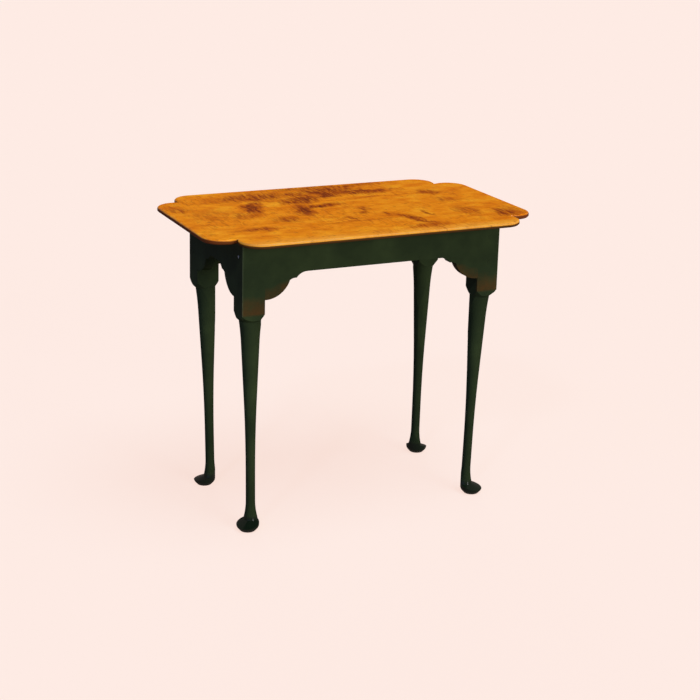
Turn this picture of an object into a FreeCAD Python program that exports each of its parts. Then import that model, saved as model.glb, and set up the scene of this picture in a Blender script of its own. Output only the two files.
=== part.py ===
import FreeCAD, Part
import math
import os
import re
import Sketcher

# Tea table: a thin lobed top on a low frame of shaped aprons and four
# offset-turned legs with pad feet. Millimetres. The origin is on the floor
# under the middle of the table, X runs along its length, -Y is the front.

# Driving dimensions: name, value, what it measures.
SIZES = [
    ("table_height", 673, "floor to the upper face of the top"),
    ("end_overhang", 82, "how far the top reaches past the posts along X"),
    ("side_overhang", 80, "how far the top reaches past the posts along Y"),
    ("top_thickness", 10.5, "thickness of the top board"),
    ("lobe_run", 106, "square corner to where a lobe leaves the straight edge"),
    ("lobe_radius", 45.5, "radius of each of the two lobes at a corner"),
    ("top_round", 4.5, "rounding of the top's upper edge"),
    ("top_bevel", 2.5, "bevel of the top's lower edge"),
    ("frame_length", 614, "over the posts along X"),
    ("frame_width", 330, "over the posts along Y"),
    ("post_side", 51, "side of the square post and of the leg's blank"),
    ("post_height", 162.4, "top of the frame to where the post's corners end"),
    ("shoulder_height", 16, "height of the turned shoulder under the post"),
    ("turning_waste", 0.25, "what turning the blank round takes off each face"),
    ("offset_at_foot", 15.5, "shank axis from the post axis, at the floor"),
    ("offset_at_head", 1.5, "shank axis from the post axis, at the frame's top"),
    ("neck_drop", 17, "end of the post's corners to the top of the neck"),
    ("neck_radius", 24.6, "radius at the top of the neck"),
    ("taper_drop", 70, "end of the post's corners to the top of the shank's taper"),
    ("taper_radius", 19.9, "radius of the shank at the top of its taper"),
    ("taper_low", 283, "floor to the bottom of the taper"),
    ("taper_low_radius", 13.4, "radius of the shank at the bottom of its taper"),
    ("ankle_high", 130, "floor to the top of the straight ankle"),
    ("ankle_low", 64, "floor to the bottom of the straight ankle"),
    ("ankle_radius", 10.4, "radius of the ankle"),
    ("instep_high", 21.2, "floor to where the instep meets the pad"),
    ("instep_radius", 16.2, "shank axis to where the instep meets the pad"),
    ("toe_high", 11, "floor to the end of the pad's sloping upper face"),
    ("rim_high", 14, "floor to the widest part of the foot"),
    ("under_high", 6.5, "floor to where the round of the foot runs into its underside"),
    ("under_radius", 22.75, "post axis to where the round runs into the underside"),
    ("sole_radius", 17, "radius of the flat under the foot"),
    ("apron_depth", 77, "top of the frame to the apron's straight edge"),
    ("apron_thickness", 22, "thickness of the aprons"),
    ("bracket_drop", 55, "apron's straight edge to the bracket's tip"),
    ("lobe_length", 56.5, "length of the bracket's big lobe, from the post"),
    ("lobe_rise", 39, "height of the bracket's big lobe"),
    ("bracket_curve", 58, "curve of the bracket's big lobe"),
    ("step_length", 15.2, "length of the small cove beside the lobe"),
    ("step_rise", 3.5, "height of the small cove"),
    ("step_curve", 22, "curve of the small cove"),
    ("cove_length", 24.3, "length of the cove that runs into the straight edge"),
    ("tenon_thickness", 8, "thickness of the tenons"),
    ("tenon_setback", 7, "outer face of the frame to the tenon"),
    ("tenon_shoulder", 10, "shoulder above and below a tenon"),
    ("joint_gap", 0.1, "glue gap round tenons, pegs and screws"),
    ("peg_diameter", 6.35, "drawbore pegs"),
    ("peg_inset", 24, "post's outer corner to a peg's centre"),
    ("peg_drop", 39, "top of the frame to the upper peg"),
    ("peg_spacing", 58, "upper peg to lower peg"),
    ("peg_length", 20, "post's outer face to a peg's inner end"),
    ("peg_proud", 0.4, "how far a peg stands out of the post"),
    ("button_length", 34, "button from its shoulder to its end"),
    ("button_width", 26, "button across"),
    ("button_height", 16, "underside of the top to the button's lower face"),
    ("button_gap", 1.5, "apron to the button's shoulder, for the top to move"),
    ("tongue_length", 7, "how far a button's tongue enters its slot"),
    ("tongue_thickness", 6, "thickness of a button's tongue"),
    ("button_bevel", 5, "bevel on the lower end of a button"),
    ("slot_spare", 0.5, "room under a tongue and behind it"),
    ("slot_margin", 3, "room at each side of a tongue in its slot"),
    ("button_spread", 300, "between the two buttons of a long apron"),
    ("screw_diameter", 4.2, "shank of a button's screw"),
    ("screw_head", 8.2, "head of a button's screw"),
    ("screw_head_high", 2.4, "height of the screw's head, under the button"),
    ("screw_length", 23, "length of a button's screw"),
    ("screw_setback", 19, "button's shoulder to its screw"),
    ("slot_width", 1.1, "width of the slot in a screw's head"),
    ("slot_depth", 1.2, "depth of the slot in a screw's head"),
    ("cut_room", 1, "how far a cutter passes beyond the wood"),
]
NAMES = [size[0] for size in SIZES]

# Heights and places that several pieces share, as formulas of the sizes.
FRAME_TOP = "(table_height - top_thickness)"
APRON_EDGE = "(table_height - top_thickness - apron_depth)"
POST_LOW = "(table_height - top_thickness - post_height)"
PEG_HEIGHTS = [FRAME_TOP + " - peg_drop", FRAME_TOP + " - peg_drop - peg_spacing"]
TENON_TOP = "(table_height - top_thickness - tenon_shoulder)"
TENON_LOW = "(table_height - top_thickness - apron_depth - bracket_drop + tenon_shoulder)"
SCREW_PLACE = "apron_thickness + button_gap + screw_setback"
BUTTON_LOW = "(table_height - top_thickness - button_height)"
HALF_TOP_LENGTH = "(frame_length / 2 + end_overhang)"
HALF_TOP_WIDTH = "(frame_width / 2 + side_overhang)"
ROUND_RADIUS = "(post_side / 2 - turning_waste)"
CUTTER_REACH = "(post_side + offset_at_foot)"
CORNER_REACH = "(post_side / sqrt(2) + cut_room)"
# where the two lobe circles of a corner cross, measured from the square corner
LOBE_CUSP = (
    "((lobe_run + lobe_radius) / 2"
    " - sqrt(lobe_radius ^ 2 / 2 - (lobe_run - lobe_radius) ^ 2 / 4))"
)

doc = FreeCAD.newDocument("tea_table")
sheet = doc.addObject("Spreadsheet::Sheet", "Sizes")
for row, (name, value, note) in enumerate(SIZES, start=1):
    sheet.set("A%d" % row, name)
    sheet.set("B%d" % row, str(value))
    sheet.set("C%d" % row, note)
    sheet.setAlias("B%d" % row, name)
doc.recompute()


def formula(text):
    """A formula of plain size names, with each name pointed at the sheet."""
    return re.sub(r"[a-z_]+", lambda word: "Sizes." + word[0] if word[0] in NAMES else word[0], text)


def number(text):
    """The number that a formula gives now."""
    value = sheet.evalExpression(formula(text))
    return float(getattr(value, "Value", value))


def bind(thing, **places):
    """Tie properties to formulas: bind(pad, Length="post_side")."""
    for place, text in places.items():
        thing.setExpression(place.replace("__", "."), formula(text))


def origin_plane(body, role):
    return [plane for plane in body.Origin.OriginFeatures if plane.Role == role][0]


def new_sketch(body, name, support, offset=None, **places):
    """A sketch on one of the body's planes; places ties its offset to formulas."""
    sketch = body.newObject("Sketcher::SketchObject", name)
    sketch.AttachmentSupport = [(support, "")]
    sketch.MapMode = "FlatFace"
    if offset:
        sketch.AttachmentOffset = offset
    bind(sketch, **places)
    return sketch


def set_constraint(sketch, kind, *where, text):
    index = sketch.addConstraint(Sketcher.Constraint(kind, *where, number(text)))
    sketch.setExpression("Constraints[%d]" % index, formula(text))


def arc_between(start, end, centre, left):
    """The arc from start to end round centre, and which of its ends is the start."""
    first, last = (start, end) if left else (end, start)
    begin = math.atan2(first.y - centre.y, first.x - centre.x)
    finish = math.atan2(last.y - centre.y, last.x - centre.x)
    if finish < begin:
        finish += 2 * math.pi
    circle = Part.Circle(centre, FreeCAD.Vector(0, 0, 1), (start - centre).Length)
    return Part.ArcOfCircle(circle, begin, finish), (1, 2) if left else (2, 1)


def curved_edge(start, end, bend, ends):
    """An arc given by its radius, or by the straight edge that it is tangent to."""
    chord = end - start
    if bend[0] in ("left", "right"):
        left = bend[0] == "left"
        radius = number(bend[1])
        middle = (start + end) * 0.5
        normal = FreeCAD.Vector(-chord.y, chord.x, 0).normalize()
        reach = math.sqrt(radius ** 2 - (chord.Length / 2) ** 2)
        centre = middle + normal * (reach if left else -reach)
    else:
        at, far = (start, end) if bend[0] == "after" else (end, start)
        along = (ends[1] - ends[0]).normalize()
        normal = FreeCAD.Vector(-along.y, along.x, 0)
        signed = (far - at).Length ** 2 / (2 * normal.dot(far - at))
        left = signed > 0
        centre = at + normal * signed
    return arc_between(start, end, centre, left)


def trace(sketch, corners, bends):
    """Draw a closed outline through corners, each tied to its two formulas.

    bends gives the edges that are arcs, by the number of the corner they
    start at: ("left", radius) or ("right", radius) for the way they turn,
    ("after",) or ("before",) where they are tangent to the edge that comes
    before them or after them.
    """
    points = [FreeCAD.Vector(number(x), number(y), 0) for x, y in corners]
    count = len(points)
    edges = []
    for index, start in enumerate(points):
        end = points[(index + 1) % count]
        if index not in bends:
            edges.append((sketch.addGeometry(Part.LineSegment(start, end), False), (1, 2)))
            continue
        bend = bends[index]
        near = (points[index - 1], start) if bend[0] == "after" else (end, points[(index + 2) % count])
        shape, order = curved_edge(start, end, bend, near)
        edges.append((sketch.addGeometry(shape, False), order))
    for index, (x, y) in enumerate(corners):
        before, after = edges[index - 1], edges[index]
        smooth = bends.get(index, ("",))[0] == "after"
        smooth = smooth or bends.get((index - 1) % count, ("",))[0] == "before"
        joint = (before[0], before[1][1], after[0], after[1][0])
        sketch.addConstraint(Sketcher.Constraint("Tangent" if smooth else "Coincident", *joint))
        set_constraint(sketch, "DistanceX", -1, 1, after[0], after[1][0], text=x)
        set_constraint(sketch, "DistanceY", -1, 1, after[0], after[1][0], text=y)
    for index, bend in bends.items():
        if bend[0] in ("left", "right"):
            set_constraint(sketch, "Radius", edges[index][0], text=bend[1])


def circle(sketch, x, y, diameter):
    """A circle in a sketch with its centre and diameter tied to formulas."""
    centre = FreeCAD.Vector(number(x), number(y), 0)
    ring = sketch.addGeometry(Part.Circle(centre, FreeCAD.Vector(0, 0, 1), number(diameter) / 2), False)
    set_constraint(sketch, "DistanceX", -1, 1, ring, 3, text=x)
    set_constraint(sketch, "DistanceY", -1, 1, ring, 3, text=y)
    set_constraint(sketch, "Diameter", ring, text=diameter)


def new_feature(body, kind, name, sketch, **places):
    feature = body.newObject("PartDesign::" + kind, name)
    feature.Profile = sketch
    bind(feature, **places)
    return feature


def turn(body, kind, name, sketch):
    """A full turn of a sketch about its own upright axis."""
    feature = new_feature(body, kind, name, sketch)
    feature.ReferenceAxis = (sketch, ["V_Axis"])
    feature.Angle = 360
    return feature


def ease_edges(body, kind, name, base, chosen, **places):
    """A fillet or chamfer on those edges of a feature that chosen picks."""
    doc.recompute()
    edges = ["Edge%d" % (i + 1) for i, edge in enumerate(base.Shape.Edges) if chosen(edge)]
    eased = body.newObject("PartDesign::" + kind, name)
    eased.Base = (base, edges)
    bind(eased, **places)
    return eased


def place(body, x, y, turned):
    """Stand a body at x, y, turned about the vertical by quarter turns."""
    body.Placement = FreeCAD.Placement(FreeCAD.Vector(), FreeCAD.Rotation(90 * turned, 0, 0))
    bind(body, Placement__Base__x=x, Placement__Base__y=y)


# The four sides of the frame, each a quarter turn from the one before it:
# name, middle of the table to its outer face, and half its length.
SIDES = [
    ("front", "frame_width / 2", "frame_length / 2"),
    ("right", "frame_length / 2", "frame_width / 2"),
    ("back", "frame_width / 2", "frame_length / 2"),
    ("left", "frame_length / 2", "frame_width / 2"),
]
# The ends of each side, for the piece at the side's start and at its end.
ENDS = [("left", "right"), ("front", "back"), ("right", "left"), ("back", "front")]
# The buttons of each side: name, and place along the side.
BUTTONS = [
    [("button_front_left", "-button_spread / 2"), ("button_front_right", "button_spread / 2")],
    [("button_right", "0")],
    [("button_back_right", "-button_spread / 2"), ("button_back_left", "button_spread / 2")],
    [("button_left", "0")],
]
SCREWS = [(turned, along) for turned, buttons in enumerate(BUTTONS) for name, along in buttons]
nodes = []
CLOSE = 1e-4  # two heights nearer than this are the same


def on_side(turned, along, inward):
    """Formulas in the table's frame for a point along a side, inward of its outer face."""
    half = SIDES[turned][1]
    return [
        (along, "%s - %s" % (inward, half)),
        ("%s - (%s)" % (half, inward), along),
        ("-(%s)" % along, "%s - (%s)" % (half, inward)),
        ("%s - %s" % (inward, half), "-(%s)" % along),
    ][turned]


def new_body(name):
    body = doc.addObject("PartDesign::Body", name)
    body.Label = name
    return body


def on_height(edge, height):
    box = edge.BoundBox
    return abs(box.ZMin - height) < CLOSE and abs(box.ZMax - height) < CLOSE


# Top: one board, each corner two lobes that meet in an inward point.

def make_top():
    body = new_body("top")
    ground = origin_plane(body, "XY_Plane")
    outline = new_sketch(body, "top_outline", ground, AttachmentOffset__Base__z=FRAME_TOP)
    corners = []
    for side_x, side_y in ((1, -1), (1, 1), (-1, 1), (-1, -1)):
        corner = [
            (HALF_TOP_LENGTH + " - lobe_run", HALF_TOP_WIDTH),
            (HALF_TOP_LENGTH + " - " + LOBE_CUSP, HALF_TOP_WIDTH + " - " + LOBE_CUSP),
            (HALF_TOP_LENGTH, HALF_TOP_WIDTH + " - lobe_run"),
        ]
        if side_x * side_y > 0:
            corner.reverse()
        corners += [("%d * (%s)" % (side_x, x), "%d * (%s)" % (side_y, y)) for x, y in corner]
    lobes = [3 * corner + arc for corner in range(4) for arc in (0, 1)]
    trace(outline, corners, {lobe: ("left", "lobe_radius") for lobe in lobes})
    board = new_feature(body, "Pad", "board", outline, Length="top_thickness")
    under, upper = number(FRAME_TOP), number("table_height")
    lower = ease_edges(body, "Chamfer", "lower_bevel", board, lambda e: on_height(e, under), Size="top_bevel")
    ease_edges(body, "Fillet", "upper_round", lower, lambda e: on_height(e, upper), Radius="top_round")
    holes = new_sketch(body, "screw_holes", ground, AttachmentOffset__Base__z=FRAME_TOP)
    for turned, along in SCREWS:
        circle(holes, *on_side(turned, along, SCREW_PLACE), "screw_diameter + 2 * joint_gap")
    bores = new_feature(
        body, "Pocket", "screw_bores", holes,
        Length="screw_length - button_height + cut_room",
    )
    bores.Reversed = True
    nodes.append(body)


# Legs: a square blank, turned round about the post's own axis below the
# shoulder, then turned again about an axis that leans inwards to the foot.
# The second turning leaves the slim shank and the pad with its toe outwards.

def make_leg(name, turned):
    body = new_body(name)
    ground = origin_plane(body, "XY_Plane")
    upright = origin_plane(body, "XZ_Plane")

    square = new_sketch(body, "square", ground)
    half = "post_side / 2"
    minus = "-post_side / 2"
    trace(square, [(minus, minus), (half, minus), (half, half), (minus, half)], {})
    new_feature(body, "Pad", "blank", square, Length=FRAME_TOP)

    round_cut = new_sketch(body, "round_cut", upright)
    corners = [
        ("sole_radius", "-cut_room"),
        (CUTTER_REACH, "-cut_room"),
        (CUTTER_REACH, POST_LOW + " + cut_room"),
        (CORNER_REACH, POST_LOW + " + cut_room"),
        (ROUND_RADIUS, POST_LOW + " - shoulder_height"),
        (ROUND_RADIUS, "rim_high"),
        ("under_radius", "under_high"),
        ("sole_radius", "0"),
    ]
    trace(round_cut, corners, {5: ("after",)})
    turn(body, "Groove", "round_turning", round_cut)

    diagonal = body.newObject("PartDesign::Plane", "diagonal_plane")
    diagonal.AttachmentSupport = [(upright, "")]
    diagonal.MapMode = "FlatFace"
    diagonal.AttachmentOffset = FreeCAD.Placement(
        FreeCAD.Vector(), FreeCAD.Rotation(FreeCAD.Vector(0, 1, 0), 45)
    )
    doc.recompute()
    offset_cut = new_sketch(
        body, "offset_cut", diagonal,
        FreeCAD.Placement(FreeCAD.Vector(), FreeCAD.Rotation(FreeCAD.Vector(0, 0, 1), 1)),
        AttachmentOffset__Base__x="offset_at_foot",
        AttachmentOffset__Rotation__Angle="atan((offset_at_foot - offset_at_head) / %s)" % FRAME_TOP,
    )
    corners = [
        (ROUND_RADIUS + " + offset_at_foot", "toe_high"),
        (CUTTER_REACH, "toe_high"),
        (CUTTER_REACH, POST_LOW + " + cut_room"),
        (CORNER_REACH + " + offset_at_foot / 2", POST_LOW + " + cut_room"),
        ("neck_radius", POST_LOW + " - neck_drop"),
        ("taper_radius", POST_LOW + " - taper_drop"),
        ("taper_low_radius", "taper_low"),
        ("ankle_radius", "ankle_high"),
        ("ankle_radius", "ankle_low"),
        ("instep_radius", "instep_high"),
    ]
    bends = {
        4: ("before",),
        6: ("before",),
        8: ("after",),
    }
    trace(offset_cut, corners, bends)
    turn(body, "Groove", "offset_turning", offset_cut)

    mortises = new_sketch(body, "mortise_plan", ground, AttachmentOffset__Base__z=TENON_TOP + " + joint_gap")
    near = "tenon_setback - joint_gap - post_side / 2"
    deep = "tenon_setback + tenon_thickness + joint_gap - post_side / 2"
    past = "post_side / 2 + cut_room"
    trace(
        mortises,
        [(near, near), (past, near), (past, deep), (deep, deep), (deep, past), (near, past)],
        {},
    )
    new_feature(
        body, "Pocket", "mortises", mortises,
        Length="%s - %s + 2 * joint_gap" % (TENON_TOP, TENON_LOW),
    )
    for role, outwards in (("XZ_Plane", 1), ("YZ_Plane", -1)):
        face = new_sketch(
            body, "peg_face", origin_plane(body, role),
            AttachmentOffset__Base__z="%d * post_side / 2" % outwards,
        )
        for height in PEG_HEIGHTS:
            circle(face, "peg_inset - post_side / 2", height, "peg_diameter + 2 * joint_gap")
        bores = new_feature(body, "Pocket", "peg_bores", face, Length="peg_length + joint_gap")
        bores.Reversed = outwards < 0
    place(body, *on_side(turned, "post_side / 2 - %s" % SIDES[turned][2], "post_side / 2"), turned)
    nodes.append(body)


# Aprons: one board each, drawn as its right half and mirrored. The lower edge
# ends in a bracket: a big lobe, a small cove and a cove into the straight edge.

def make_apron(name, turned):
    body = new_body(name)
    ground = origin_plane(body, "XY_Plane")
    face = origin_plane(body, "XZ_Plane")
    end = "(%s - post_side)" % SIDES[turned][2]

    half = new_sketch(body, "half_outline", face)
    corners = [
        ("0", APRON_EDGE),
        (end + " - lobe_length - step_length - cove_length", APRON_EDGE),
        (end + " - lobe_length - step_length", APRON_EDGE + " - bracket_drop + lobe_rise + step_rise"),
        (end + " - lobe_length", APRON_EDGE + " - bracket_drop + lobe_rise"),
        (end, APRON_EDGE + " - bracket_drop"),
        (end, FRAME_TOP),
        ("0", FRAME_TOP),
    ]
    trace(half, corners, {1: ("after",), 2: ("right", "step_curve"), 3: ("left", "bracket_curve")})
    board = new_feature(body, "Pad", "board", half, Length="apron_thickness")
    board.Reversed = True

    plan = new_sketch(body, "tenon_plan", ground, AttachmentOffset__Base__z=TENON_LOW)
    inner = "tenon_setback + tenon_thickness"
    corners = [
        (end, "tenon_setback"),
        (end + " + post_side - tenon_setback - joint_gap", "tenon_setback"),
        (end + " + post_side - (%s) - joint_gap" % inner, inner),
        (end, inner),
    ]
    trace(plan, corners, {})
    tenon = new_feature(body, "Pad", "tenon", plan, Length="%s - %s" % (TENON_TOP, TENON_LOW))

    holes = new_sketch(body, "peg_holes", face)
    for height in PEG_HEIGHTS:
        circle(holes, end + " + post_side - peg_inset", height, "peg_diameter + 2 * joint_gap")
    bores = new_feature(body, "Pocket", "peg_bores", holes, Length="apron_thickness")

    mirrored = body.newObject("PartDesign::Mirrored", "both_halves")
    mirrored.Originals = [board, tenon, bores]
    mirrored.MirrorPlane = (origin_plane(body, "YZ_Plane"), [""])
    body.Tip = mirrored

    slots = new_sketch(body, "button_slots", face, AttachmentOffset__Base__z="-apron_thickness")
    low, high = BUTTON_LOW + " - slot_spare", BUTTON_LOW + " + tongue_thickness"
    reach = "(button_width / 2 + slot_margin)"
    for button, along in BUTTONS[turned]:
        left, right = along + " - " + reach, along + " + " + reach
        trace(slots, [(left, low), (right, low), (right, high), (left, high)], {})
    cut = new_feature(body, "Pocket", "slots", slots, Length="tongue_length + slot_spare")
    cut.Reversed = True
    place(body, *on_side(turned, "0", "0"), turned)
    nodes.append(body)


# Drawbore pegs: two through each joint, driven from the outer face of the post.

def make_pegs(name, turned, at_end):
    body = new_body(name)
    body.AllowCompound = True
    ends = new_sketch(body, "peg_ends", origin_plane(body, "XZ_Plane"), AttachmentOffset__Base__z="peg_proud")
    for height in PEG_HEIGHTS:
        circle(ends, "0", height, "peg_diameter")
    pegs = new_feature(body, "Pad", "pegs", ends, Length="peg_proud + peg_length")
    pegs.Reversed = True
    along = "(%s - peg_inset)" % SIDES[turned][2]
    place(body, *on_side(turned, along if at_end else "-" + along, "0"), turned)
    nodes.append(body)


# Buttons: small blocks with a tongue that holds the top down to an apron and
# lets it move with the seasons.

def make_button(name, turned, along):
    body = new_body(name)
    side_view = origin_plane(body, "YZ_Plane")
    profile = new_sketch(body, "profile", side_view)
    far = "button_gap + button_length"
    shelf = BUTTON_LOW + " + tongue_thickness"
    corners = [
        ("-tongue_length", BUTTON_LOW),
        (far + " - button_bevel", BUTTON_LOW),
        (far, BUTTON_LOW + " + button_bevel"),
        (far, FRAME_TOP),
        ("button_gap", FRAME_TOP),
        ("button_gap", shelf),
        ("-tongue_length", shelf),
    ]
    trace(profile, corners, {})
    block = new_feature(body, "Pad", "block", profile, Length="button_width")
    block.Midplane = True
    bore = new_sketch(body, "bore", origin_plane(body, "XY_Plane"), AttachmentOffset__Base__z=FRAME_TOP)
    circle(bore, "0", "button_gap + screw_setback", "screw_diameter + 2 * joint_gap")
    new_feature(body, "Pocket", "screw_bore", bore, Length="button_height")
    place(body, *on_side(turned, along, "apron_thickness"), turned)
    nodes.append(body)


# Wood screws of the buttons: slotted round heads, threads left plain.

def make_screw(name, turned, along):
    body = new_body(name)
    half = new_sketch(body, "half", origin_plane(body, "XZ_Plane"))
    head_low = BUTTON_LOW + " - screw_head_high"
    end = BUTTON_LOW + " + screw_length"
    corners = [
        ("0", head_low),
        ("screw_head / 2", BUTTON_LOW),
        ("screw_diameter / 2", BUTTON_LOW),
        ("screw_diameter / 2", end),
        ("0", end),
    ]
    dome = "(screw_head ^ 2 / 4 + screw_head_high ^ 2) / (2 * screw_head_high)"
    trace(half, corners, {0: ("left", dome)})
    turn(body, "Revolution", "turned", half)
    slot = new_sketch(body, "slot", origin_plane(body, "XY_Plane"), AttachmentOffset__Base__z=head_low)
    reach, wide = "screw_head", "slot_width / 2"
    trace(slot, [("-" + reach, "-" + wide), (reach, "-" + wide), (reach, wide), ("-" + reach, wide)], {})
    cut = new_feature(body, "Pocket", "driver_slot", slot, Length="slot_depth")
    cut.Reversed = True
    place(body, *on_side(turned, along, SCREW_PLACE), turned)
    return body


make_top()
for turned, side in enumerate(SIDES):
    make_apron("apron_" + side[0], turned)
for turned, corner in enumerate(("front_left", "front_right", "back_right", "back_left")):
    make_leg("leg_" + corner, turned)
for turned, side in enumerate(SIDES):
    for at_end, end_name in enumerate(ENDS[turned]):
        make_pegs("pegs_%s_apron_%s" % (side[0], end_name), turned, at_end)
for turned, buttons in enumerate(BUTTONS):
    for name, along in buttons:
        make_button(name, turned, along)
screws = [make_screw("screw_%d" % count, turned, along) for count, (turned, along) in enumerate(SCREWS)]
screw_set = doc.addObject("Part::Compound", "button_screws")
screw_set.Label = "button_screws"
screw_set.Links = screws
nodes.append(screw_set)
doc.recompute()

# Every object must be sound before anything is written.
for thing in doc.Objects:
    if "Invalid" in thing.State or "Error" in thing.State:
        raise RuntimeError("%s failed: %s" % (thing.Label, thing.State))
for node in nodes:
    if node.Shape.isNull() or not node.Shape.isValid():
        raise RuntimeError("%s has no sound shape" % node.Label)

os.makedirs("parts", exist_ok=True)
for node in nodes:
    node.Shape.exportStep("parts/%s.step" % node.Label)
    print("%-28s solids %d volume %.0f" % (node.Label, len(node.Shape.Solids), node.Shape.Volume))
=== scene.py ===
import math

import bpy
from mathutils import Matrix, Vector


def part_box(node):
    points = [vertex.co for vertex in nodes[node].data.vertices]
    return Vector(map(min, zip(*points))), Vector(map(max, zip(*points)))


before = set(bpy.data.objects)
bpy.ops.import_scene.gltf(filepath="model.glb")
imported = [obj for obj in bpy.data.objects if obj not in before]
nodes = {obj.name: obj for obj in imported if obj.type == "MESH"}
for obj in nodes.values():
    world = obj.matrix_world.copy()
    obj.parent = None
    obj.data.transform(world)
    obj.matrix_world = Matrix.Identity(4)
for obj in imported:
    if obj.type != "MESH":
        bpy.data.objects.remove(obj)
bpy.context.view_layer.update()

# Tea table: a figured maple top on a painted frame. Metres, the CAD's own frame.
print("frame loaded:", len(nodes), "nodes")


def hexToLinear(text):
    channels = [int(text[i:i + 2], 16) / 255 for i in (1, 3, 5)]
    return [c / 12.92 if c <= 0.04045 else ((c + 0.055) / 1.055) ** 2.4 for c in channels] + [1.0]


def addNode(tree, kind, settings=None, links=None, stops=()):
    # settings names a property or an input, links names an input, stops are a ramp's colours
    node = tree.nodes.new("ShaderNode" + kind)
    for count, (position, colour) in enumerate(stops):
        elements = node.color_ramp.elements
        stop = elements[count] if count < len(elements) else elements.new(position)
        stop.position, stop.color = position, hexToLinear(colour)
    for name, value in (settings or {}).items():
        if isinstance(name, str) and hasattr(node, name):
            setattr(node, name, value)
        else:
            node.inputs[name].default_value = value
    for name, socket in (links or {}).items():
        tree.links.new(socket, node.inputs[name])
    return node


def newMaterial(name):
    material = bpy.data.materials.new(name)
    material.use_nodes = True
    tree = material.node_tree
    tree.nodes.clear()
    return material, tree


def finishMaterial(tree, settings, links):
    shader = addNode(tree, "BsdfPrincipled", settings, links)
    addNode(tree, "OutputMaterial", links={"Surface": shader.outputs[0]})


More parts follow.
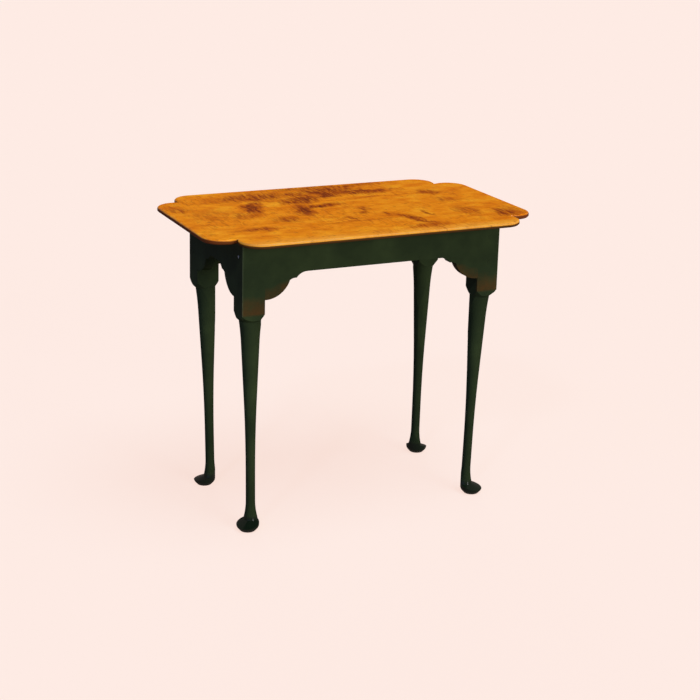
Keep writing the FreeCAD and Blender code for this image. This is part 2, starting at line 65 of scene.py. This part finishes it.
# Curly maple, planed, stained amber and varnished: a mottled honey ground with
# short silky strokes across the grain, smoky flames, and a thin clear satin skin.
maple = {
    # the ground goes from amber through honey to straw
    "ground": ((0.32, "#CB6804"), (0.5, "#DE800C"), (0.68, "#EA9C1C")),
    "russet": "#983E04", "smoke": "#581E05", "fleck": "#8A3C06", "worn": "#EAA63A",
    # the arris colour is a painted highlight; the side colour lightens the edge stain on the ends,
    # as painted light
    "arrisHighlight": "#B08440", "edge": "#4C3015", "side": "#6A3416",
    "varnishIor": 1.5, "specular": 0.0, "coat": 0.028, "edgeCoat": 0.24, "coatRoughness": 0.14,
    "roughness": {"To Min": 0.31, "To Max": 0.44}, "relief": {"Strength": 0.12, "Distance": 0.0003},
    # noises: the size in metres of one patch with its gap gives the scale
    "bend": {"Scale": 1 / 0.0625, "Detail": 4.0, "Roughness": 0.6},
    "mottle": {"Scale": 1 / 0.03571, "Detail": 8.0, "Roughness": 0.7},
    "silkCloud": {"Scale": 1 / 0.1429, "Detail": 2.0},
    # pores are too fine to show, so they are drawn as flecks of a few millimetres
    "pores": {"Scale": 1 / 0.00769, "Detail": 3.0, "Roughness": 0.6},
    # growth lines, 2.4 mm wide, which is half a wave
    "lines": {"Scale": 0.5 / 0.0024, "Detail": 4.0, "Roughness": 0.6},
    # mottle and lines are drawn out along the board, and the figure wanders this far
    "mottleStretch": 0.6, "lineStretch": 0.07, "wander": 0.03,
    # strokes: length and width in metres, their turn from the board's length, how they break up
    "curl": (0.055, 0.0078), "fine": (0.026, 0.0042), "lean": 1.56, "strokeDetail": 2.0,
    # what the strokes and noises are turned into
    "breakUp": {"From Min": 0.72, "From Max": 1.28, "To Min": 0.58, "To Max": 1.32},
    "silk": {"From Min": 0.4, "From Max": 0.62, "To Min": 0.06, "To Max": 0.5},
    "dips": {"From Min": 0.98, "From Max": 1.3},
    "warm": {"From Min": 0.10, "From Max": 0.95, "To Max": 0.90},
    "dark": {"From Min": 0.60, "From Max": 1.2, "To Max": 0.80},
    "specks": {"From Min": 0.60, "From Max": 0.72, "To Max": 0.6},
    # worn stain: distances from the front edge where it starts and is full, and how pale it gets
    "wornReach": (0.040, 0.003), "wornShare": 1.1,
    # front of the edge, which gets painted light: distances from its edge and from the right end,
    # where it starts and is full
    "frontReach": (0.075, 0.030), "endReach": (0.049, 0.099),
    # depth under the surface, where dark stain or the arris band starts and where it is full; at
    # the front the stain starts lower by the drop, as painted light
    "stainDepth": (0.0012, 0.0028), "frontDrop": 0.0026,
    "arrisHigh": (0.0004, 0.0010), "arrisLow": (0.0032, 0.0024),
    # shares of its half length where a patch starts and is full, at any height
    "patchFade": {"From Min": 1.7, "From Max": 0.2}, "patchHeight": 1e6,
    # smoky patches: place on the board, half length and half width in metres, turn, strength
    "patches": {
        "backLeft": ((-0.150, 0.166), (0.110, 0.046), 0.0, 0.84),
        "backMiddle": ((0.042, 0.180), (0.085, 0.052), 0.0, 0.90),
        "backDark": ((-0.056, 0.116), (0.060, 0.036), 0.3, 0.95),
        "backBridge": ((0.010, 0.142), (0.062, 0.028), 0.25, 0.92),
        "backTail": ((0.110, 0.150), (0.095, 0.024), 0.0, 0.95),
        "backJoin": ((-0.045, 0.168), (0.060, 0.030), 0.0, 0.74),
        "backRim": ((0.050, 0.222), (0.170, 0.022), 0.0, 0.74),
        "wedge": ((-0.198, 0.064), (0.028, 0.054), -0.30, 1.0),
        "wedgeHorn": ((-0.178, 0.104), (0.018, 0.028), -0.5, 0.86),
        "wingRoot": ((-0.094, 0.012), (0.022, 0.060), -0.28, 0.98),
        "wing": ((-0.052, 0.038), (0.072, 0.022), 0.22, 0.92),
        "leftCloud": ((-0.230, 0.008), (0.046, 0.040), 0.0, 0.58),
        "leftRows": ((-0.300, 0.030), (0.060, 0.070), 0.0, 0.44),
        "corner": ((-0.358, 0.105), (0.030, 0.044), 0.0, 0.62),
        "fleck": ((-0.160, -0.058), (0.034, 0.036), 0.0, 0.74),
        "frontLine": ((-0.250, -0.120), (0.060, 0.018), 0.0, 0.76),
        "knotOne": ((0.043, -0.010), (0.012, 0.024), -0.3, 0.82),
        "knotTwo": ((0.024, -0.045), (0.014, 0.020), 0.3, 0.80),
        "knotThree": ((-0.022, -0.090), (0.012, 0.019), 0.0, 0.76),
        "knotFour": ((0.068, -0.075), (0.012, 0.024), 0.0, 0.76),
        "grainLine": ((0.130, 0.094), (0.120, 0.010), 0.05, 0.46),
        "frontGrain": ((-0.010, -0.118), (0.110, 0.012), 0.05, 0.50),
        "rightSpot": ((0.260, 0.100), (0.040, 0.032), -0.5, 0.80),
        "rightBar": ((0.264, 0.016), (0.028, 0.036), 0.0, 0.60),
        "scratch": ((0.256, -0.104), (0.024, 0.050), 0.0, 0.70),
        "slant": ((0.110, -0.140), (0.084, 0.015), -1.12, 0.88),
        "twig": ((0.158, -0.096), (0.010, 0.034), 0.0, 0.72),
        "frontSpot": ((0.108, -0.204), (0.060, 0.026), 0.0, 0.66),
        "rightCorner": ((0.336, -0.140), (0.052, 0.044), 0.9, 0.84),
    },
}


# Curl and fine strokes lie across the board; one unit of their space is one stroke.
def addStrokes(tree, place, warped):
    strokes = []
    for size, source in ((maple["curl"], warped), (maple["fine"], place)):
        space = addNode(tree, "Mapping", {
            "vector_type": "TEXTURE", "Rotation": (0, 0, maple["lean"]), "Scale": (*size, 1)},
            {"Vector": source})
        noise = addNode(tree, "TexNoise", {"Scale": 1.0, "Detail": maple["strokeDetail"]},
                        {"Vector": space.outputs[0]})
        strokes.append(noise.outputs["Fac"])
    return addNode(tree, "Math", {"operation": "ADD"}, {0: strokes[0], 1: strokes[1]}).outputs[0]


# The strongest patch counts at each place, and strokes break the patches up into flames.
def addFlames(tree, warped, strokes):
    field = None
    for at, half, turn, strength in maple["patches"].values():
        moved = addNode(tree, "Mapping", {
            "vector_type": "TEXTURE", "Location": (*at, 0), "Rotation": (0, 0, turn),
            "Scale": (*half, maple["patchHeight"])}, {"Vector": warped})
        far = addNode(tree, "VectorMath", {"operation": "LENGTH"}, {0: moved.outputs[0]})
        patch = addNode(tree, "MapRange", {
            "interpolation_type": "SMOOTHSTEP", **maple["patchFade"], "To Max": strength},
            {"Value": far.outputs["Value"]}).outputs[0]
        field = patch if field is None else addNode(
            tree, "Math", {"operation": "MAXIMUM"}, {0: field, 1: patch}).outputs[0]
    broken = addNode(tree, "MapRange", maple["breakUp"], {"Value": strokes})
    flames = addNode(tree, "Math", {"operation": "MULTIPLY"}, {0: field, 1: broken.outputs[0]})
    return flames.outputs[0]


# The flat of the board, as layers of colour from the ground up.
def addFlat(tree, place, axes, bend, strokes, flames):
    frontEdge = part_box("top")[0][1]
    # a mottle of straw, honey and amber, a little longer along the board
    drawnOut = addNode(tree, "Mapping", {"Scale": (maple["mottleStretch"], 1, 1)},
                       {"Vector": place})
    mottle = addNode(tree, "TexNoise", maple["mottle"], {"Vector": drawnOut.outputs[0]})
    ground = addNode(tree, "ValToRGB", links={"Fac": mottle.outputs["Fac"]}, stops=maple["ground"])
    # sleeves have worn the stain pale towards the front edge, in patches
    start, full = maple["wornReach"]
    near = addNode(tree, "MapRange", {"From Min": frontEdge + start, "From Max": frontEdge + full,
                                      "To Max": maple["wornShare"]}, {"Value": axes["Y"]})
    rubbed = addNode(tree, "Math", {"operation": "MULTIPLY"}, {0: near.outputs[0], 1: bend})
    # faint curl over the ground, stronger in some parts of the board
    cloud = addNode(tree, "TexNoise", maple["silkCloud"], {"Vector": place})
    silk = addNode(tree, "MapRange", maple["silk"], {"Value": cloud.outputs["Fac"]})
    dips = addNode(tree, "MapRange", maple["dips"], {"Value": strokes})
    faint = addNode(tree, "Math", {"operation": "MULTIPLY"},
                    {0: dips.outputs[0], 1: silk.outputs[0]})
    # flames: first russet, then smoke at their hearts
    warm, dark = [addNode(tree, "MapRange", {"interpolation_type": "SMOOTHSTEP", **maple[name]},
                          {"Value": flames}) for name in ("warm", "dark")]
    # small dark flecks where the stain went into the pores
    pores = addNode(tree, "TexNoise", maple["pores"], {"Vector": drawnOut.outputs[0]})
    specks = addNode(tree, "MapRange", maple["specks"], {"Value": pores.outputs["Fac"]})

    colour = ground.outputs[0]
    layers = (("worn", rubbed), ("russet", faint), ("russet", warm), ("smoke", dark),
              ("fleck", specks))
    for name, share in layers:
        colour = addNode(tree, "Mix", {"data_type": "RGBA", 7: hexToLinear(maple[name])},
                         {0: share.outputs[0], 6: colour}).outputs[2]
    return colour


# The rounded edge: darker stain, made lighter on the ends and started lower at the front as painted
# light, and a painted highlight along the front arris.
def addEdge(tree, axes, bend, flat):
    (_, frontEdge, _), (rightEnd, _, surface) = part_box("top")
    frontMask = addNode(tree, "MapRange", {"From Min": frontEdge + maple["frontReach"][0],
                                           "From Max": frontEdge + maple["frontReach"][1]},
                        {"Value": axes["Y"]})
    endMask = addNode(tree, "MapRange", {"From Min": rightEnd - maple["endReach"][0],
                                         "From Max": rightEnd - maple["endReach"][1]},
                      {"Value": axes["X"]})
    front = addNode(tree, "Math", {"operation": "MULTIPLY"},
                    {0: frontMask.outputs[0], 1: endMask.outputs[0]}).outputs[0]
    # painted light: the dark stain starts lower at the front, and is lighter and redder on the ends
    lifted = addNode(tree, "Math", {"operation": "MULTIPLY_ADD", 1: maple["frontDrop"]},
                     {0: front, 2: axes["Z"]})
    heights = {"stainDepth": lifted.outputs[0], "arrisLow": axes["Z"], "arrisHigh": axes["Z"]}
    edge, low, high = [addNode(tree, "MapRange", {"From Min": surface - maple[name][0],
                                                  "From Max": surface - maple[name][1]},
                               {"Value": height}) for name, height in heights.items()]
    stainWithPaintedLight = addNode(tree, "Mix", {"data_type": "RGBA", 6: hexToLinear(maple["side"]),
                                  7: hexToLinear(maple["edge"])}, {0: front})
    edged = addNode(tree, "Mix", {"data_type": "RGBA"},
                    {0: edge.outputs[0], 6: flat, 7: stainWithPaintedLight.outputs[2]})
    # painted highlight: the arris along the front is coloured pale, unevenly
    arrisHighlight = addNode(tree, "Math", {"operation": "MULTIPLY"},
                    {0: low.outputs[0], 1: high.outputs[0]})
    uneven = addNode(tree, "Math", {"operation": "MULTIPLY"}, {0: front, 1: bend})
    highlightShare = addNode(tree, "Math", {"operation": "MULTIPLY"},
                   {0: arrisHighlight.outputs[0], 1: uneven.outputs[0]})
    highlighted = addNode(tree, "Mix", {"data_type": "RGBA", 7: hexToLinear(maple["arrisHighlight"])},
                    {0: highlightShare.outputs[0], 6: edged.outputs[2]})
    return highlighted.outputs[2], arrisHighlight.outputs[0]


def makeMaple():
    material, tree = newMaterial("curlyMapleVarnished")
    place = addNode(tree, "TexCoord").outputs["Object"]
    axes = addNode(tree, "SeparateXYZ", links={"Vector": place}).outputs
    # the figure wanders, so its places are pushed about by a slow noise
    bend = addNode(tree, "TexNoise", maple["bend"], {"Vector": place}).outputs
    centred = addNode(tree, "VectorMath", {"operation": "SUBTRACT", 1: (0.5, 0.5, 0.5)},
                      {0: bend["Color"]})
    push = addNode(tree, "VectorMath", {"operation": "SCALE", "Scale": 2 * maple["wander"]},
                   {0: centred.outputs[0]})
    warped = addNode(tree, "VectorMath", {"operation": "ADD"}, {0: place, 1: push.outputs[0]})

    strokes = addStrokes(tree, place, warped.outputs[0])
    flames = addFlames(tree, warped.outputs[0], strokes)
    flat = addFlat(tree, place, axes, bend["Fac"], strokes, flames)
    colour, arrisHighlight = addEdge(tree, axes, bend["Fac"], flat)

    # growth lines run along the board, so their noise is stretched in X
    drawnOut = addNode(tree, "Mapping", {"Scale": (maple["lineStretch"], 1, 1)}, {"Vector": place})
    lines = addNode(tree, "TexNoise", maple["lines"], {"Vector": drawnOut.outputs[0]})
    rough = addNode(tree, "MapRange", maple["roughness"], {"Value": lines.outputs["Fac"]})
    relief = addNode(tree, "Bump", maple["relief"], {"Height": lines.outputs["Fac"]})
    # varnish gathers on the arris, which shines more than the flat
    skin = addNode(tree, "MapRange", {"To Min": maple["coat"], "To Max": maple["edgeCoat"]},
                   {"Value": arrisHighlight})
    finishMaterial(tree, {"IOR": maple["varnishIor"], "Specular IOR Level": maple["specular"],
                          "Coat Roughness": maple["coatRoughness"]},
                   {"Base Color": colour, "Roughness": rough.outputs[0],
                    "Normal": relief.outputs[0], "Coat Weight": skin.outputs[0]})
    return material


# Milk paint, brushed on maple and rubbed with oil: very dark green with a thin
# shine, rubbed to reddish brown where hands and knees touch it.
paint = {
    "ground": ((0.35, "#262F1C"), (0.65, "#2F3921")),
    # the chipped colour is a painted highlight on a peg
    "rubbed": "#4A3218", "corner": "#525A40", "pegGlint": "#B9B49C", "pad": "#10190F",
    "ior": 1.5, "specular": 0.0, "coat": 0.02, "coatRoughness": 0.11,
    "roughness": {"To Min": 0.42, "To Max": 0.6}, "relief": {"Strength": 0.2, "Distance": 0.0003},
    # brush marks, 1.6 mm wide, which is half a wave, drawn out along the brush
    "strokes": {"Scale": 0.5 / 0.0016, "Detail": 3.0}, "strokeStretch": 0.05,
    # clouds and worn patches: the size in metres of one with its gap gives the scale
    "cloud": {"Scale": 1 / 0.0625, "Detail": 4.0},
    "patchy": {"Scale": 1 / 0.0238, "Detail": 6.0, "Roughness": 0.7},
    "wear": {"From Min": 0.18, "From Max": 0.58, "To Max": 0.85},
    # big lobe of a bracket: radius, its middle from the post's inner face, and how far
    # the wear comes in from the rim; where it starts and is full below the middle
    "lobeRadius": 0.058, "lobeInset": 0.0017, "lobeReach": 0.040, "lobeDrop": (0.008, 0.030),
    # length of a post's square; where wear starts and is full, up from its lower end,
    # over that end and behind the front face; and where the painted highlight starts and is full,
    # in from the outer corners
    "postLength": 0.1625, "postReach": (0.064, 0.008), "postEnd": (-0.006, 0.002),
    "faceDepth": (0.012, 0.002), "cornerDepth": (0.0022, 0.0004),
    # floor wax has polished the pads; their near black colour is painted shade, and up the shanks
    # the paint is darker towards the bottom
    "padHeight": (0.036, 0.024), "padCoat": 0.15, "lowDarkeningHeight": 0.30, "lowDarkening": 0.4,
}


# Below the middle of a bracket's big lobe, towards its rim, at both ends of the apron.
def addLobeWear(tree, axes):
    tip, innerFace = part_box("apron_front")[0][2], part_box("leg_front_right")[0][0]
    middle = (innerFace - paint["lobeInset"], 0, tip + paint["lobeRadius"])
    side = addNode(tree, "Math", {"operation": "ABSOLUTE"}, {0: axes["X"]})
    flat = addNode(tree, "CombineXYZ", links={"X": side.outputs[0], "Z": axes["Z"]})
    far = addNode(tree, "VectorMath", {"operation": "DISTANCE", 1: middle}, {0: flat.outputs[0]})
    near = addNode(tree, "MapRange", {"From Min": paint["lobeRadius"] - paint["lobeReach"],
                                      "From Max": paint["lobeRadius"]},
                   {"Value": far.outputs["Value"]})
    low = addNode(tree, "MapRange", {"From Min": middle[2] - paint["lobeDrop"][0],
                                     "From Max": middle[2] - paint["lobeDrop"][1]},
                  {"Value": axes["Z"]})
    return addNode(tree, "Math", {"operation": "MULTIPLY"}, {0: near.outputs[0], 1: low.outputs[0]})


# At the lower end of a front post's square, on its front face.
def addPostWear(tree, axes):
    low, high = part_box("leg_front_left")
    end = high[2] - paint["postLength"]
    worn = None
    places = (("Y", low[1], "faceDepth"), ("Z", end, "postEnd"), ("Z", end, "postReach"))
    for axis, base, name in places:
        start, full = paint[name]
        mask = addNode(tree, "MapRange", {"From Min": base + start, "From Max": base + full},
                       {"Value": axes[axis]})
        worn = mask if worn is None else addNode(
            tree, "Math", {"operation": "MULTIPLY"}, {0: worn.outputs[0], 1: mask.outputs[0]})
    return worn


# Painted highlight: a thin broken lighter line down a post's outer corners.
def addCornerHighlight(tree, axes, patchy):
    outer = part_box("leg_front_right")[1][0], -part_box("leg_front_right")[0][1]
    line = patchy
    for axis, face in zip("XY", outer):
        out = addNode(tree, "Math", {"operation": "ABSOLUTE"}, {0: axes[axis]})
        by = addNode(tree, "MapRange", {"From Min": face - paint["cornerDepth"][0],
                                        "From Max": face - paint["cornerDepth"][1]},
                     {"Value": out.outputs[0]})
        line = addNode(tree, "Math", {"operation": "MULTIPLY"},
                       {0: line.outputs[0], 1: by.outputs[0]})
    return line


def makePaint(name, along, wearAndPaintedLightAt=None):
    # along is the axis that the brush follows; wearAndPaintedLightAt is lobe, post or peg: the lobe
    # gets wear, the post wear with painted highlight and painted shade, the peg a painted highlight
    material, tree = newMaterial(name)
    place = addNode(tree, "TexCoord").outputs["Object"]
    axes = addNode(tree, "SeparateXYZ", links={"Vector": place}).outputs
    drawnOut = addNode(tree, "Mapping", {"Scale": [paint["strokeStretch"] if axis == along else 1.0
                                                   for axis in "XYZ"]}, {"Vector": place})
    strokes = addNode(tree, "TexNoise", paint["strokes"], {"Vector": drawnOut.outputs[0]})
    rough = addNode(tree, "MapRange", paint["roughness"], {"Value": strokes.outputs["Fac"]})
    relief = addNode(tree, "Bump", paint["relief"], {"Height": strokes.outputs["Fac"]})
    settings = {"IOR": paint["ior"], "Specular IOR Level": paint["specular"],
                "Coat Weight": paint["coat"], "Coat Roughness": paint["coatRoughness"]}
    links = {"Roughness": rough.outputs[0], "Normal": relief.outputs[0]}

    cloud = addNode(tree, "TexNoise", paint["cloud"], {"Vector": place})
    ground = addNode(tree, "ValToRGB", links={"Fac": cloud.outputs["Fac"]}, stops=paint["ground"])
    layers = []
    if wearAndPaintedLightAt in ("lobe", "post"):
        where = addLobeWear(tree, axes) if wearAndPaintedLightAt == "lobe" else addPostWear(tree, axes)
        patchy = addNode(tree, "TexNoise", paint["patchy"], {"Vector": place})
        broken = addNode(tree, "Math", {"operation": "MULTIPLY"},
                         {0: where.outputs[0], 1: patchy.outputs["Fac"]})
        wear = addNode(tree, "MapRange", paint["wear"], {"Value": broken.outputs[0]})
        layers.append(("rubbed", wear))
    if wearAndPaintedLightAt == "post":
        # painted shade: near black on the pads, and darker towards the bottom up the shanks
        padTop, padFull = paint["padHeight"]
        pad = addNode(tree, "MapRange", {"From Min": padTop, "From Max": padFull},
                      {"Value": axes["Z"]})
        lowDarkening = addNode(tree, "MapRange", {"From Min": paint["lowDarkeningHeight"], "From Max": padTop,
                                           "To Max": paint["lowDarkening"]}, {"Value": axes["Z"]})
        padShadeAndDarkening = addNode(tree, "Math", {"operation": "MAXIMUM"},
                       {0: pad.outputs[0], 1: lowDarkening.outputs[0]})
        skin = addNode(tree, "MapRange", {"To Min": paint["coat"], "To Max": paint["padCoat"]},
                       {"Value": pad.outputs[0]})
        links["Coat Weight"] = skin.outputs[0]
        layers += [("corner", addCornerHighlight(tree, axes, patchy)), ("pad", padShadeAndDarkening)]
    if wearAndPaintedLightAt == "peg":
        # painted highlight: the upper one of the two pegs is coloured pale, as a glint
        low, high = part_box("pegs_left_apron_front")
        pegGlint = addNode(tree, "Math", {"operation": "GREATER_THAN", 1: (low[2] + high[2]) / 2},
                          {0: axes["Z"]})
        layers.append(("pegGlint", pegGlint))

    colour = ground.outputs[0]
    for tint, share in layers:
        colour = addNode(tree, "Mix", {"data_type": "RGBA", 7: hexToLinear(paint[tint])},
                         {0: share.outputs[0], 6: colour}).outputs[2]
    finishMaterial(tree, settings, {**links, "Base Color": colour})
    return material


# Maple offcut, sawn and left bare: pale, dry and matt with fine lines.
bareWood = {
    "colours": ((0.3, "#B08A55"), (0.7, "#D9BC8C")), "roughness": 0.72, "ior": 1.5,
    # growth lines, 1.5 mm wide, which is half a wave, drawn out along X
    "lines": {"Scale": 0.5 / 0.0015, "Detail": 5.0}, "lineStretch": 0.15,
    "relief": {"Strength": 0.3, "Distance": 0.0003},
}


def makeBareWood():
    material, tree = newMaterial("bareMapleSawn")
    place = addNode(tree, "TexCoord").outputs["Object"]
    drawnOut = addNode(tree, "Mapping", {"Scale": (bareWood["lineStretch"], 1, 1)},
                       {"Vector": place})
    lines = addNode(tree, "TexNoise", bareWood["lines"], {"Vector": drawnOut.outputs[0]})
    colour = addNode(tree, "ValToRGB", links={"Fac": lines.outputs["Fac"]},
                     stops=bareWood["colours"])
    relief = addNode(tree, "Bump", bareWood["relief"], {"Height": lines.outputs["Fac"]})
    finishMaterial(tree, {"IOR": bareWood["ior"], "Roughness": bareWood["roughness"]},
                   {"Base Color": colour.outputs[0], "Normal": relief.outputs[0]})
    return material


# Mild steel, turned bright and dulled by handling: grey with a soft shine.
steel = {
    "colours": ((0.35, "#77767A"), (0.65, "#A8A8AA")), "roughness": {"To Min": 0.27, "To Max": 0.5},
    # a dull spot with its gap is 2.5 mm
    "dullSpots": {"Scale": 1 / 0.0025, "Detail": 3.0},
}


def makeSteel():
    material, tree = newMaterial("mildSteelTurned")
    place = addNode(tree, "TexCoord").outputs["Object"]
    spots = addNode(tree, "TexNoise", steel["dullSpots"], {"Vector": place})
    colour = addNode(tree, "ValToRGB", links={"Fac": spots.outputs["Fac"]}, stops=steel["colours"])
    rough = addNode(tree, "MapRange", steel["roughness"], {"Value": spots.outputs["Fac"]})
    finishMaterial(tree, {"Metallic": 1.0},
                   {"Base Color": colour.outputs[0], "Roughness": rough.outputs[0]})
    return material


# Each piece takes the first finish whose start fits its name.
paintOnLegs = makePaint("milkPaintBrushedUpright", "Z", "post")
paintOnLong = makePaint("milkPaintBrushedLong", "X", "lobe")
paintOnShort = makePaint("milkPaintBrushedAcross", "Y")
paintOnPeg = makePaint("milkPaintPegGlint", "Z", "peg")
finishes = {
    "top": makeMaple(), "leg_": paintOnLegs,
    "apron_front": paintOnLong, "apron_back": paintOnLong,
    "apron_left": paintOnShort, "apron_right": paintOnShort,
    "pegs_left_apron_front": paintOnPeg, "pegs_": paintOnLegs,
    "button_screws": makeSteel(), "button_": makeBareWood(),
}
for name, piece in nodes.items():
    finish = next(material for start, material in finishes.items() if name.startswith(start))
    piece.data.materials.clear()
    piece.data.materials.append(finish)
print("materials on", len(nodes), "pieces")


# Floor: pale warm paper, which keeps the soft shadows of the feet and is warmer in them.
floor = {
    "size": 60.0, "colour": "#FFEEE4", "bounce": 0.2, "lit": "#BCEBF6",
    "shade": "#FFE3D6", "shadeLevel": 1.08, "shown": 0.85,
}


def makeFloor():
    mesh = bpy.data.meshes.new("floor")
    half = floor["size"] / 2
    corners = [(-half, -half, 0), (half, -half, 0), (half, half, 0), (-half, half, 0)]
    mesh.from_pydata(corners, [], [(0, 1, 2, 3)])
    piece = bpy.data.objects.new("floor", mesh)
    bpy.context.scene.collection.objects.link(piece)
    material, tree = newMaterial("paperMatt")
    ray = addNode(tree, "LightPath").outputs
    # light that the floor throws back on the table is held down
    thrown = [c * floor["bounce"] for c in hexToLinear(floor["colour"])[:3]] + [1.0]
    colour = addNode(tree, "Mix", {"data_type": "RGBA", 6: thrown, 7: hexToLinear(floor["lit"])},
                     {0: ray["Is Camera Ray"]})
    lit = addNode(tree, "BsdfDiffuse", links={"Color": colour.outputs[2]})
    shade = addNode(tree, "Emission", {"Color": hexToLinear(floor["shade"]),
                                       "Strength": floor["shadeLevel"]})
    seen = addNode(tree, "Math", {"operation": "MAXIMUM"},
                   {0: ray["Is Camera Ray"], 1: ray["Is Glossy Ray"]})
    seen = addNode(tree, "Math", {"operation": "MAXIMUM"},
                   {0: seen.outputs[0], 1: ray["Is Transmission Ray"]})
    share = addNode(tree, "Math", {"operation": "MULTIPLY", 1: floor["shown"]},
                    {0: seen.outputs[0]})
    mixed = addNode(tree, "MixShader", links={0: share.outputs[0], 1: lit.outputs[0],
                                              2: shade.outputs[0]})
    addNode(tree, "OutputMaterial", links={"Surface": mixed.outputs[0]})
    mesh.materials.append(material)


# World: a weak cool fill, shown pale to every ray that looks at it.
sky = {"fill": "#A4C0FF", "fillLevel": 0.11, "shown": "#FEEBE2", "shownLevel": 1.0}


def makeWorld():
    world = bpy.data.worlds.new("studio")
    bpy.context.scene.world = world
    world.use_nodes = True
    tree = world.node_tree
    tree.nodes.clear()
    ray = addNode(tree, "LightPath").outputs
    fill, shown = [addNode(tree, "Background", {"Color": hexToLinear(sky[name]),
                                                "Strength": sky[name + "Level"]})
                   for name in ("fill", "shown")]
    seen = addNode(tree, "Math", {"operation": "MAXIMUM"},
                   {0: ray["Is Camera Ray"], 1: ray["Is Glossy Ray"]})
    seen = addNode(tree, "Math", {"operation": "MAXIMUM"},
                   {0: seen.outputs[0], 1: ray["Is Transmission Ray"]})
    mixed = addNode(tree, "MixShader", links={0: seen.outputs[0], 1: fill.outputs[0],
                                              2: shown.outputs[0]})
    addNode(tree, "OutputWorld", links={"Surface": mixed.outputs[0]})


# Far soft lamps: where they stand as seen from the table, how many degrees wide they
# look, strength and colour.
lamps = {
    "frontLamp": ((1.1, -3.0, 0.55), 24, 2.4, "#FFFFFF"),
    "overheadLamp": ((0.5, -0.9, 3.0), 40, 2.1, "#FFFFFF"),
    "windowLamp": ((-1.8, -1.8, 2.3), 6, 0.5, "#E6EEFF"),
    "sideLamp": ((-3.0, -0.9, 0.5), 80, 1.1, "#4A88FF"),
    "backLamp": ((0.5, 1.6, 1.0), 30, 0.5, "#FFFFFF"),
}


def makeLamps():
    for name, (place, width, strength, colour) in lamps.items():
        light = bpy.data.lights.new(name, "SUN")
        light.angle, light.energy = math.radians(width), strength
        light.color = hexToLinear(colour)[:3]
        lamp = bpy.data.objects.new(name, light)
        lamp.location = place
        lamp.rotation_euler = (-Vector(place)).to_track_quat("-Z", "Y").to_euler()
        bpy.context.scene.collection.objects.link(lamp)


# Camera: a long lens, a little above the table and to the left of its front. Its turns are
# in radians, its focal length and frame width in pixels, its sensor in millimetres.
eye = {
    "place": (-1.42583, -3.03197, 1.43668), "turn": 0.44528, "down": 0.28122, "roll": -0.02632,
    "focal": 1533.593, "frameWidth": 700, "sensor": 36.0, "shift": (-0.0007, -0.0764),
}


def makeCamera():
    turn, down, roll = eye["turn"], eye["down"], eye["roll"]
    level = math.cos(down)
    forward = Vector((math.sin(turn) * level, math.cos(turn) * level, -math.sin(down)))
    right = Vector((math.cos(turn), -math.sin(turn), 0))
    below = forward.cross(right)
    across = right * math.cos(roll) + below * math.sin(roll)
    under = below * math.cos(roll) - right * math.sin(roll)
    lens = bpy.data.cameras.new("camera")
    lens.sensor_width = eye["sensor"]
    lens.lens = eye["focal"] / eye["frameWidth"] * eye["sensor"]
    lens.shift_x, lens.shift_y = eye["shift"]
    camera = bpy.data.objects.new("camera", lens)
    turned = Matrix((across, -under, -forward)).transposed()
    camera.matrix_world = Matrix.Translation(eye["place"]) @ turned.to_4x4()
    bpy.context.scene.collection.objects.link(camera)
    bpy.context.scene.camera = camera


makeFloor()
makeWorld()
makeLamps()
makeCamera()
bpy.context.scene.view_settings.view_transform = "Standard"
print("floor, lamps and camera placed")
